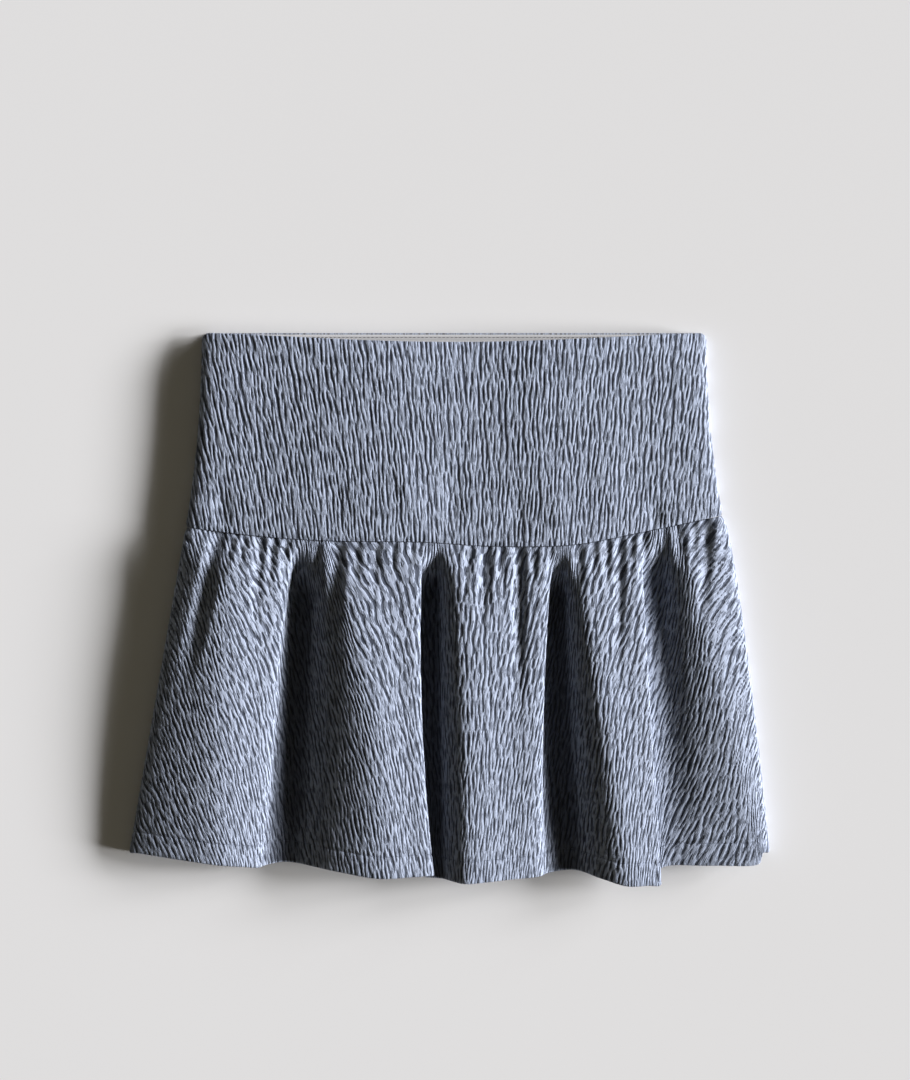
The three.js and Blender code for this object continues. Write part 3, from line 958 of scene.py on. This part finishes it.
@dataclass
class FrontFlounce(FlouncePanel):
    """The front flounce, in five rolls that overhang the valleys between them.

    deep, shallow: heights between which the painted shade of a valley fades out.
    sides_from, sides_to: distances from the sides over which that painted shade sets in.
    gathered_from, gathered_to: heights between which the gathers set in.
    """

    deep: float = 4.3
    shallow: float = 9.8
    sides_from: float = 12.0
    sides_to: float = 30.0
    gathered_from: float = 6.0
    gathered_to: float = 11.0
    gather_settle: float = 4.0
    puff_rise: float = 4.0
    column_share: float = 0.6
    dense_places: int = 9000

    def marks(self, shares: np.ndarray) -> np.ndarray:
        """Mark the section of each row, as the solid's: place across, hem and height."""
        sides, tops = flounce_sides(shares), flounce_tops(shares)
        one = np.ones_like(shares)
        below = shares * self.length
        lift = SIZES.hem_lift * ease(below, self.length - 3 * SIZES.hem_depth,
                                     self.length - SIZES.hem_depth)
        left = side_marks(sides[0], tops[0], 1)[:2]
        right = side_marks(sides[1], tops[1], -1)[::-1]
        marks = [(x, SIZES.left_hem_up * one, z) for x, z in left]
        for number, roll in enumerate(ROLLS):
            following = ROLLS[number + 1] if number + 1 < len(ROLLS) else None
            marks += self.roll_marks(roll, following, shares, sides, tops, lift)
        marks += [(x, SIZES.right_hem_up * one, z) for x, z in right]
        return np.stack([np.stack([x, hem * one, z * one], axis=-1) for x, hem, z in marks], axis=1)

    def roll_marks(self, roll: Roll, following: Roll, shares: np.ndarray, sides: tuple,
                   tops: tuple, lift: np.ndarray) -> list:
        """Mark one roll: foot, flank, crest, brow, edge and the cloth tucked under it.

        Args:
            roll: the roll's sizes.
            following: the roll to its right, or None.
            shares: rows.
            sides: left and right side seams at each row.
            tops: heights just inside them.
            lift: how much the doubled hem lifts the valley floors.

        Returns:
            Triples of place across, hem and height.
        """
        below = shares * self.length
        opened = ease(below, 0, roll.opens)
        foot = bend(roll.foot, shares) if roll.foot else sides[0] + SIZES.side_radius
        edge = bend(roll.edge, shares) if roll.edge else sides[1] - SIZES.side_radius
        floor = bend(roll.floor, shares) + lift if roll.foot else tops[0]
        brow = bend(roll.brow, shares) if roll.edge else tops[1]
        top = bend(roll.crest, shares)
        crest = mix(foot, edge, bend(roll.crest_share, shares))
        on_flank, on_brow = SIZES.flank_along, SIZES.brow_along
        hem_foot, hem_crest, hem_edge = roll.hem
        one = np.array(1.0)

        def mark(across: np.ndarray, folded: np.ndarray, hem: float) -> tuple:
            """Mark a point that leaves the yoke's height as its valley opens."""
            return across, hem, mix(yoke_height(across, one), folded, opened)

        marks = [
            mark(foot, floor, hem_foot),
            mark(mix(foot, crest, on_flank), mix(floor, top, SIZES.flank_rise),
                 mix(hem_foot, hem_crest, on_flank)),
            mark(crest, top, hem_crest),
            mark(mix(crest, edge, on_brow), mix(top, brow, SIZES.brow_fall),
                 mix(hem_crest, hem_edge, on_brow)),
        ]
        if following is None:
            return marks
        next_foot, next_floor = bend(following.foot, shares), bend(following.floor, shares) + lift
        under = mix((edge + next_foot) / 2, edge - bend(roll.roll_under, shares),
                    ease(below, 0, following.opens))
        marks.append(mark(edge, brow, hem_edge))
        marks.append(mark(under, mix(brow, next_floor, SIZES.under_fall),
                          mix(hem_edge, following.hem[0], 0.5)))
        return marks

    def painted_fold_shade(self, points: np.ndarray, shares: np.ndarray) -> np.ndarray:
        """Give the painted shade of each point: 1 on the valley floors, 0 from half the rolls' height.
        """
        left, right = flounce_sides(shares[:, None])
        inward = np.minimum(points[..., 0] - left, right - points[..., 0])
        valley = (1 - ease(points[..., 2], self.deep, self.shallow)) * ease(
            inward, self.sides_from, self.sides_to)
        return np.maximum(valley, super().painted_fold_shade(points, shares))

    def places(self) -> np.ndarray:
        """Pick even columns along the folded section below the middle."""
        marks = self.marks(np.array([self.column_share]))
        dense = np.linspace(0, marks.shape[1] - 1, self.dense_places)
        section = smooth_section(marks, dense)[0] * np.array([1.0, 0.0, 1.0])
        return even_places(section, dense, self.spacing)

    def surface(self, where: np.ndarray, shares: np.ndarray) -> np.ndarray:
        """Run each row's section, hang it from the seam to the hem and gather it."""
        points = smooth_section(self.marks(shares), where)
        across, share = points[..., 0], shares[:, None]
        below = share * self.length
        points[..., 1] = mix(seam_up(across) - SIZES.seam_gap / 2, points[..., 1], share)
        puff = SIZES.puff * np.exp(-(((below - SIZES.puff_at) / SIZES.puff_at) ** 2))
        gathers = gather_depth(GATHERS + FINE_GATHERS, across, below, self.gather_settle)
        ripple = puff * (1 - np.exp(-below / self.puff_rise)) - gathers
        points[..., 2] += ease(points[..., 2], self.gathered_from, self.gathered_to) * ripple
        return points


@dataclass
class BackFlounce(FlouncePanel):
    """The back flounce, flat but for the channels that run down from its gathers."""

    column_stretch: float = 1.08
    channel_settle: float = 10.0

    def places(self) -> np.ndarray:
        """Pick even columns round the sides and over the flat."""
        return back_places(SIZES.hem_right - SIZES.hem_left, self.spacing * self.column_stretch)

    def surface(self, where: np.ndarray, shares: np.ndarray) -> np.ndarray:
        """Lay each row of the back between the seam and its own hem."""
        sides = flounce_sides(shares)
        points = back_section(where, sides, flounce_tops(shares))
        across, share = points[..., 0], shares[:, None]
        left, right = (s[:, None] for s in sides)
        off = (2 * across - left - right) / (right - left)
        hem = (mix(SIZES.left_hem_up, SIZES.right_hem_up, (1 + off) / 2)
               - SIZES.back_hem_sag * np.maximum(0, 1 - off ** 2))
        points[..., 1] = mix(seam_up(across) - SIZES.seam_gap / 2, hem, share)
        flat = ((where >= 0) & (where <= 1))[None]
        channels = gather_depth(BACK_CHANNELS, across, share * self.length, self.channel_settle)
        points[..., 2] += np.where(flat, channels, 0.0)
        return points


@dataclass
class WaistElastic:
    """The pale elastic band inside the waist, one ring over both yokes."""

    front: FrontYoke
    back: BackYoke
    rows: int = 14
    bulge: int = 3
    ribs: float = 0.05
    rib_pitch: float = 1.8
    column_step: int = 2
    edge_round: float = 0.6

    def build(self, material: bpy.types.Material) -> bpy.types.Object:
        """Build the ring: the yokes' own points, moved in by the wall and the gap.

        Args:
            material: its finish.

        Returns:
            The finished object.
        """
        length = SIZES.waist_line - float(seam_up(np.array(0.0)))
        top = SIZES.elastic_below_edge / length
        bottom = (SIZES.elastic_below_edge + SIZES.elastic_width) / length
        shares = np.linspace(top, bottom, self.rows)
        front = self.front.surface(self.front.places()[::self.column_step], shares)
        back = self.back.surface(self.back.places()[::self.column_step], shares)[:, ::-1]
        points = np.concatenate([front, back], axis=1)
        normals = grid_normals(points, 1, ring=True)
        steps = np.linalg.norm(np.diff(points, axis=1), axis=2)
        run = np.concatenate([np.zeros((len(points), 1)), np.cumsum(steps, axis=1)], axis=1)
        coords = np.stack([run, np.broadcast_to(shares[:, None] * length, run.shape)], axis=-1)
        rib = self.ribs * np.cos(2 * math.pi * coords[..., 1] / self.rib_pitch)
        start = SIZES.wall + SIZES.seam_gap
        outer = points - normals * start
        inner = points - normals * (start + SIZES.elastic_wall + rib[..., None])
        maker = MeshMaker("waist_elastic_band")
        a = maker.add(outer, coords, np.zeros(run.shape))
        b = maker.add(inner, coords, np.zeros(run.shape))
        maker.join(grid_faces(a, 1, ring=True))
        maker.join(grid_faces(b, -1, ring=True))
        for row, sign in ((0, -1), (-1, 1)):
            out = points[row] - points[row - 1 if row else 1]
            out = out / np.linalg.norm(out, axis=-1, keepdims=True)
            edge = self.front.rim(outer[row], inner[row], out * self.edge_round, self.bulge)
            spread = np.broadcast_to(coords[row], edge.shape[:-1] + (2,))
            added = maker.add(edge, spread, np.zeros(edge.shape[:-1]))
            maker.join(grid_faces(np.stack([a[row], *added, b[row]]), sign, ring=True))
        return maker.build(material)


@dataclass(frozen=True)
class StitchRow:
    """A row of short machine stitches, each a small spindle that lies on the cloth."""

    name: str
    pitch: float = 2.5
    length: float = 1.9
    thick: float = 0.32
    rise: float = 0.1
    tip: float = 0.04
    aim: float = 0.4
    sides: int = 6
    rings: int = 5

    def spindle(self) -> tuple:
        """Work out one stitch: rings whose radius is a half sine of the length.

        Returns:
            rings x sides x 3 places along, sideways and up, and the vertex grid.
        """
        s = np.linspace(self.tip, 1 - self.tip, self.rings)
        turn = np.linspace(0, 2 * math.pi, self.sides, endpoint=False)
        radius = self.thick / 2 * np.sin(math.pi * s) ** 0.5
        along = np.broadcast_to(((s - 0.5) * self.length)[:, None], (self.rings, self.sides))
        sideways = radius[:, None] * np.cos(turn)
        up = radius[:, None] * np.sin(turn)
        grid = np.arange(self.rings * self.sides).reshape(self.rings, self.sides)
        return np.stack([along, sideways, up], axis=-1).reshape(-1, 3), grid

    def build(self, path: np.ndarray, normals: np.ndarray,
              material: bpy.types.Material) -> bpy.types.Object:
        """Lay the stitches evenly along a path on the cloth.

        Args:
            path: points x 3 of the path in millimetres.
            normals: the cloth's outward normals there.
            material: the thread's finish.

        Returns:
            The finished object.
        """
        steps = np.linalg.norm(np.diff(path, axis=0), axis=1)
        run = np.concatenate([[0.0], np.cumsum(steps)])
        stops = np.arange(self.pitch, run[-1] - self.pitch / 2, self.pitch)

        def at(values: np.ndarray, where: np.ndarray) -> np.ndarray:
            """Read path values at distances along it."""
            return np.stack([np.interp(where, run, values[:, k]) for k in range(3)], axis=1)

        centre = at(path, stops)
        tangent = at(path, stops + self.aim) - at(path, stops - self.aim)
        tangent /= np.linalg.norm(tangent, axis=1, keepdims=True)
        up = at(normals, stops)
        up -= tangent * np.sum(up * tangent, axis=1, keepdims=True)
        up /= np.linalg.norm(up, axis=1, keepdims=True)
        sideways = np.cross(up, tangent)
        base, grid = self.spindle()
        centre = centre + up * self.rise
        points = (centre[:, None] + base[None, :, :1] * tangent[:, None]
                  + base[None, :, 1:2] * sideways[:, None] + base[None, :, 2:] * up[:, None])
        maker = MeshMaker(self.name)
        coords = np.broadcast_to(base[None, :, :2], points.shape[:2] + (2,))
        index = maker.add(points, coords, np.zeros(points.shape[:2]))
        shift = index[:, :1, None]
        body = grid_faces(grid, -1, ring=True)
        fan = np.arange(1, self.sides - 1)
        start = np.stack([grid[0, 0] + 0 * fan, grid[0, fan], grid[0, fan + 1]], axis=1)[:, ::-1]
        end = np.stack([grid[-1, 0] + 0 * fan, grid[-1, fan], grid[-1, fan + 1]], axis=1)
        one = np.concatenate([body, start, end])
        maker.join(one[None] + shift)
        return maker.build(material)


class NodeBench:
    """A small helper that adds and links shader nodes of one material."""

    def __init__(self, name: str) -> None:
        """Start a material with an empty node tree."""
        self.material = bpy.data.materials.new(name)
        self.material.use_nodes = True
        self.tree = self.material.node_tree
        self.tree.nodes.clear()

    def node(self, kind: str, inputs: dict | None = None, **settings: object) -> bpy.types.Node:
        """Add a node.

        Args:
            kind: Blender's node type.
            inputs: socket values or sockets to link from.
            **settings: the node's own properties.

        Returns:
            The node.
        """
        made = self.tree.nodes.new(kind)
        for key, value in settings.items():
            setattr(made, key, value)
        for key, value in (inputs or {}).items():
            if isinstance(value, bpy.types.NodeSocket):
                self.tree.links.new(value, made.inputs[key])
            else:
                made.inputs[key].default_value = value
        return made

    def math(self, operation: str, a: object, b: object = 0.0) -> bpy.types.NodeSocket:
        """Add a math node and return its value."""
        return self.node("ShaderNodeMath", {0: a, 1: b}, operation=operation).outputs[0]

    def blend(self, factor: object, a: object, b: object) -> bpy.types.NodeSocket:
        """Mix two colours by a factor and return the colour."""
        made = self.node("ShaderNodeMix", {0: factor, 6: a, 7: b}, data_type="RGBA")
        return made.outputs[2]

    def finish(self, shader: bpy.types.Node) -> bpy.types.Material:
        """Link the shader to the output and return the material."""
        out = self.node("ShaderNodeOutputMaterial")
        self.tree.links.new(shader.outputs[0], out.inputs[0])
        return self.material


@dataclass(frozen=True)
class JerseyFinish:
    """Dusty blue crinkled jersey: long wavy ridges, parted by narrow grooves.

    The grooves follow the modelled crinkle. Finer creases and the knit lie over it. Shade is painted
    into the colour of the grooves and the creases, and of the valley floors and turned-under sides.

    groove_span: the crinkle's field over which a groove turns into a ridge.
    crease_span: the noise over which a fine crease turns into smooth cloth.
    groove_least, crease_least: the share of the colour that the painted shade leaves in each.
    groove_rise, crease_rise: the share of the bump that each has.
    """

    ridge: tuple = (0.366, 0.416, 0.527, 1)
    # Painted shade: the grooves' near-black colour stands for the shade in them.
    groove: tuple = (0.012, 0.017, 0.032, 1)
    # Painted shade for the valley floors and turned-under sides, and how much of it the depth
    # attribute lays on.
    painted_shade: tuple = (0.020, 0.024, 0.036, 1)
    painted_shade_share: float = 0.8
    groove_span: tuple = (-0.85, -0.1)
    groove_least: float = 0.2
    groove_rise: float = 0.6
    crease_width: float = 1.2
    crease_length: float = 6.5
    crease_span: tuple = (0.41, 0.53)
    crease_least: float = 0.45
    crease_rise: float = 0.5
    sway: float = 0.026
    height: float = 0.00048
    knit_height: float = 0.00008
    roughness: float = 0.9
    sheen: float = 0.08

    def step(self, bench: NodeBench, value: object, span: tuple) -> bpy.types.NodeSocket:
        """Rise smoothly from 0 to 1 over a span of the value."""
        return bench.node("ShaderNodeMapRange", {0: value, 1: span[0], 2: span[1]},
                          interpolation_type="SMOOTHSTEP").outputs[0]

    def tone(self, bench: NodeBench, share: object, least: float) -> bpy.types.NodeSocket:
        """Give least where the share is 0, and 1 where it is 1."""
        return bench.math("ADD", bench.math("MULTIPLY", share, 1 - least), least)

    def build(self) -> bpy.types.Material:
        """Build the node tree: bump follows the grooves, the creases and the knit, and the colour
        takes painted shade in the grooves, the creases and the valley floors.
        """
        bench = NodeBench("jersey")
        field = bench.node("ShaderNodeAttribute", attribute_name="crinkle").outputs["Fac"]
        # The depth attribute: how much shade is painted on each place.
        deep = bench.node("ShaderNodeAttribute", attribute_name="depth").outputs["Fac"]
        cut = bench.node("ShaderNodeUVMap", uv_map="cut").outputs[0]
        drift = bench.node("ShaderNodeTexNoise", {"Vector": cut, "Scale": 8.0, "Detail": 2.0})
        centred = bench.node("ShaderNodeVectorMath", {0: drift.outputs[1], 1: (0.5, 0.5, 0.5)},
                             operation="SUBTRACT").outputs[0]
        swayed = bench.node("ShaderNodeVectorMath",
                            {0: centred, 1: (self.sway, self.sway * 2, 0.0), 2: cut},
                            operation="MULTIPLY_ADD").outputs[0]
        grain = (1 / (UV_PER_MM * self.crease_width), 1 / (UV_PER_MM * self.crease_length), 1)
        drawn = bench.node("ShaderNodeMapping", {"Vector": swayed, "Scale": grain}).outputs[0]
        creases = bench.node("ShaderNodeTexNoise", {
            "Vector": drawn, "Scale": 1.0, "Detail": 3.0, "Roughness": 0.6,
        }, noise_dimensions="2D").outputs[0]
        knit = bench.node("ShaderNodeTexWave", {"Vector": cut, "Scale": 42.0, "Distortion": 1.6,
                                                "Detail": 1.0, "Detail Scale": 3.0},
                          bands_direction="X")
        ridges = self.step(bench, field, self.groove_span)
        smooth = self.step(bench, creases, self.crease_span)
        relief = bench.math("ADD", bench.math("MULTIPLY", ridges, self.groove_rise),
                            bench.math("MULTIPLY", smooth, self.crease_rise))
        # Painted shade: the colour darkens in the grooves and in the fine creases.
        tone = bench.math("MULTIPLY", self.tone(bench, ridges, self.groove_least),
                          self.tone(bench, smooth, self.crease_least))
        colour = bench.blend(bench.node("ShaderNodeClamp", {0: tone}).outputs[0],
                             self.groove, self.ridge)
        # Painted shade on the valley floors and turned-under sides.
        colour = bench.blend(bench.math("MULTIPLY", deep, self.painted_shade_share), colour, self.painted_shade)
        fold = bench.node("ShaderNodeBump", {"Strength": 1.0, "Distance": self.height,
                                             "Height": relief})
        fine = bench.node("ShaderNodeBump", {"Strength": 0.3, "Distance": self.knit_height,
                                             "Height": knit.outputs[1],
                                             "Normal": fold.outputs[0]})
        shader = bench.node("ShaderNodeBsdfPrincipled", {
            "Base Color": colour, "Roughness": self.roughness, "Normal": fine.outputs[0],
            "Sheen Weight": self.sheen, "Sheen Roughness": 0.5, "Specular IOR Level": 0.2,
        })
        return bench.finish(shader)


@dataclass(frozen=True)
class ElasticFinish:
    """Pale covered elastic with fine lengthways ribs and a soft, uneven white."""

    light: tuple = (0.66, 0.66, 0.67, 1)
    dark: tuple = (0.42, 0.42, 0.45, 1)

    def build(self) -> bpy.types.Material:
        """Build the node tree from the band's own map."""
        bench = NodeBench("elastic")
        cut = bench.node("ShaderNodeUVMap", uv_map="cut").outputs[0]
        rib = bench.node("ShaderNodeTexWave", {"Vector": cut, "Scale": 17.0, "Distortion": 0.6},
                         bands_direction="Y")
        cell = bench.node("ShaderNodeTexNoise", {"Vector": cut, "Scale": 60.0, "Detail": 3.0})
        ribbed = bench.math("ADD", bench.math("MULTIPLY", rib.outputs[1], 0.5), 0.5)
        tone = bench.math("ADD", ribbed, bench.math("MULTIPLY", cell.outputs[0], 0.6))
        colour = bench.blend(bench.node("ShaderNodeClamp", {0: tone}).outputs[0],
                             self.dark, self.light)
        bump = bench.node("ShaderNodeBump", {"Strength": 0.4, "Distance": 0.0002,
                                             "Height": rib.outputs[1]})
        shader = bench.node("ShaderNodeBsdfPrincipled", {
            "Base Color": colour, "Roughness": 0.8, "Normal": bump.outputs[0],
            "Specular IOR Level": 0.25,
        })
        return bench.finish(shader)


@dataclass(frozen=True)
class ThreadFinish:
    """Spun sewing thread: fine twisted bands along each stitch."""

    name: str
    light: tuple
    dark: tuple

    def build(self) -> bpy.types.Material:
        """Build the node tree from each stitch's own map."""
        bench = NodeBench(self.name)
        cut = bench.node("ShaderNodeUVMap", uv_map="cut").outputs[0]
        twist = bench.node("ShaderNodeTexWave", {"Vector": cut, "Scale": 160.0, "Distortion": 0.3},
                           bands_direction="DIAGONAL")
        colour = bench.blend(twist.outputs[1], self.dark, self.light)
        bump = bench.node("ShaderNodeBump", {"Strength": 0.4, "Distance": 0.00005,
                                             "Height": twist.outputs[1]})
        shader = bench.node("ShaderNodeBsdfPrincipled", {
            "Base Color": colour, "Roughness": 0.6, "Normal": bump.outputs[0],
            "Specular IOR Level": 0.3,
        })
        return bench.finish(shader)


@dataclass(frozen=True)
class FloorFinish:
    """A plain pale table with a barely uneven tone."""

    pale: tuple = (0.80, 0.80, 0.80, 1)
    paler: tuple = (0.82, 0.82, 0.82, 1)

    def build(self) -> bpy.types.Material:
        """Build the node tree."""
        bench = NodeBench("pale_floor")
        place = bench.node("ShaderNodeTexCoord").outputs["Object"]
        tone = bench.node("ShaderNodeTexNoise", {"Vector": place, "Scale": 2.0, "Detail": 2.0})
        colour = bench.blend(tone.outputs[0], self.pale, self.paler)
        shader = bench.node("ShaderNodeBsdfPrincipled", {
            "Base Color": colour, "Roughness": 0.95, "Specular IOR Level": 0.0,
        })
        return bench.finish(shader)


@dataclass(frozen=True)
class Studio:
    """A pale floor, a wide low light from the right, a dim warm room and the camera.

    light_bars: turn of each part of the light towards the waist in degrees, and its power.
    """

    floor_half: float = 3.0
    light_height: float = 14.0
    light_spread: float = 13.0
    light_bars: tuple = ((-9.0, 3.3), (5.0, 5.0), (20.0, 2.2), (36.0, 0.5))
    room: tuple = (1.0, 0.9, 0.68, 1)
    room_power: float = 0.075
    light_tint: tuple = (0.985, 0.98, 1.0)
    look_at: tuple = (3.3, 40.8)
    frame_height: float = 648.0
    distance: float = 1600.0
    sensor: float = 36.0

    def build_floor(self) -> bpy.types.Object:
        """Lay the floor on z = 0, apart from the skirt."""
        half = self.floor_half
        mesh = bpy.data.meshes.new("floor")
        corners = [(-half, -half, 0), (half, -half, 0), (half, half, 0), (-half, half, 0)]
        mesh.from_pydata(corners, [], [(0, 1, 2, 3)])
        mesh.materials.append(FloorFinish().build())
        floor = bpy.data.objects.new("floor", mesh)
        bpy.context.scene.collection.objects.link(floor)
        return floor

    def build_light(self) -> None:
        """Hang a wide row of lights low on the right, and fill the room dimly."""
        height = math.radians(self.light_height)
        for number, (turned, power) in enumerate(self.light_bars):
            turn = math.radians(turned)
            lamp = bpy.data.lights.new(f"key_{number}", "SUN")
            lamp.energy = power
            lamp.angle = math.radians(self.light_spread)
            lamp.color = self.light_tint
            key = bpy.data.objects.new(f"key_{number}", lamp)
            travel = Vector((-math.cos(height) * math.cos(turn), -math.cos(height) * math.sin(turn),
                             -math.sin(height)))
            key.rotation_euler = travel.to_track_quat("-Z", "Y").to_euler()
            bpy.context.scene.collection.objects.link(key)
        world = bpy.data.worlds.new("room")
        world.use_nodes = True
        world.node_tree.nodes["Background"].inputs[0].default_value = self.room
        world.node_tree.nodes["Background"].inputs[1].default_value = self.room_power
        bpy.context.scene.world = world

    def build_camera(self) -> None:
        """Look straight down on the skirt with a long lens, the waist at the top."""
        lens = bpy.data.cameras.new("camera")
        lens.sensor_width = self.sensor
        lens.lens = self.sensor * self.distance / self.frame_height
        lens.clip_end = 20.0
        camera = bpy.data.objects.new("camera", lens)
        camera.location = (self.look_at[0] * MM, self.look_at[1] * MM, self.distance * MM)
        bpy.context.scene.collection.objects.link(camera)
        bpy.context.scene.camera = camera
        bpy.context.scene.view_settings.view_transform = "Standard"

    def build(self) -> None:
        """Build the floor, the light and the camera."""
        self.build_floor()
        self.build_light()
        self.build_camera()


class Skirt:
    """The whole skirt: its panels, elastic and sewing, dressed."""

    def __init__(self) -> None:
        """Set out the pieces and their finishes."""
        self.front_yoke = FrontYoke("yoke_front_cloth", Side.FRONT, spacing=0.55)
        self.back_yoke = BackYoke("yoke_back_cloth", Side.BACK, spacing=0.6)
        self.front_flounce = FrontFlounce("flounce_front_cloth", Side.FRONT, inner_rows=12)
        self.back_flounce = BackFlounce("flounce_back_cloth", Side.BACK, spacing=0.66, row_spacing=1.9,
                                        inner_rows=9)
        self.jersey = JerseyFinish().build()
        self.elastic = ElasticFinish().build()
        blue, deep_blue = (0.16, 0.19, 0.26, 1), (0.07, 0.08, 0.12, 1)
        grey, deep_grey = (0.06, 0.06, 0.07, 1), (0.02, 0.02, 0.03, 1)
        self.blue_thread = ThreadFinish("blue_thread", blue, deep_blue).build()
        self.dark_thread = ThreadFinish("dark_thread", grey, deep_grey).build()

    def dress(self, piece: bpy.types.Object, node: str) -> bpy.types.Object:
        """Put a piece on the body in a node's place, and hide the node's own part."""
        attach(piece, BODY)
        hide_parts(node)
        return piece

    def sew(self, row: StitchRow, panel: Panel, share: float, inset: float,
            material: bpy.types.Material) -> bpy.types.Object:
        """Lay a row of stitches across a panel.

        Args:
            row: the stitches.
            panel: the panel that they lie on.
            share: how far down the panel.
            inset: how far inside the outer face they lie, in millimetres.
            material: the thread.

        Returns:
            The row of stitches.
        """
        shares = share + STITCH_STEP * np.array([-1, 0, 1])
        cloth = panel.cloth(panel.places(), shares, (False, False))
        turned = -1 if inset else 1
        path = panel.outer_face(cloth, shares)[1] if not inset else (
            cloth.points[1] - cloth.normals[1] * inset)
        piece = row.build(path, cloth.normals[1] * turned, material)
        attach(piece, BODY)
        return piece

    def build(self) -> None:
        """Build every piece."""
        hem_share = 1 - SIZES.hem_depth / SIZES.flounce_length
        elastic = self.dress(WaistElastic(self.front_yoke, self.back_yoke).build(self.elastic),
                             "waist_elastic")
        front = self.dress(self.front_yoke.shell(self.jersey, (False, True), (4, 0)), "yoke_front")
        back = self.dress(self.back_yoke.shell(self.jersey, (False, True), (4, 0)), "yoke_back")
        front_flounce = self.dress(self.front_flounce.shell(self.jersey, (True, False), (0, 5)),
                                   "flounce_front")
        back_flounce = self.dress(self.back_flounce.shell(self.jersey, (True, False), (0, 5)),
                                  "flounce_back")
        front_hem = self.sew(StitchRow("hem_stitches_front"), self.front_flounce, hem_share, 0,
                             self.blue_thread)
        back_hem = self.sew(StitchRow("hem_stitches_back", rise=-0.3), self.back_flounce, hem_share, 0,
                            self.blue_thread)
        band = SIZES.wall + SIZES.seam_gap + SIZES.elastic_wall
        top = (SIZES.elastic_below_edge + SIZES.stitches_below_elastic_edge) / self.back_yoke.length
        waist_back = self.sew(StitchRow("waist_stitches_back"), self.back_yoke, top, band,
                              self.dark_thread)
        waist_front = self.sew(StitchRow("waist_stitches_front"), self.front_yoke, top, band,
                               self.dark_thread)


def main() -> None:
    """Build the skirt and the studio."""
    logging.basicConfig(level=logging.INFO, format="%(name)s: %(message)s")
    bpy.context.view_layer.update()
    Skirt().build()
    Studio().build()


if __name__ == "__main__":
    main()
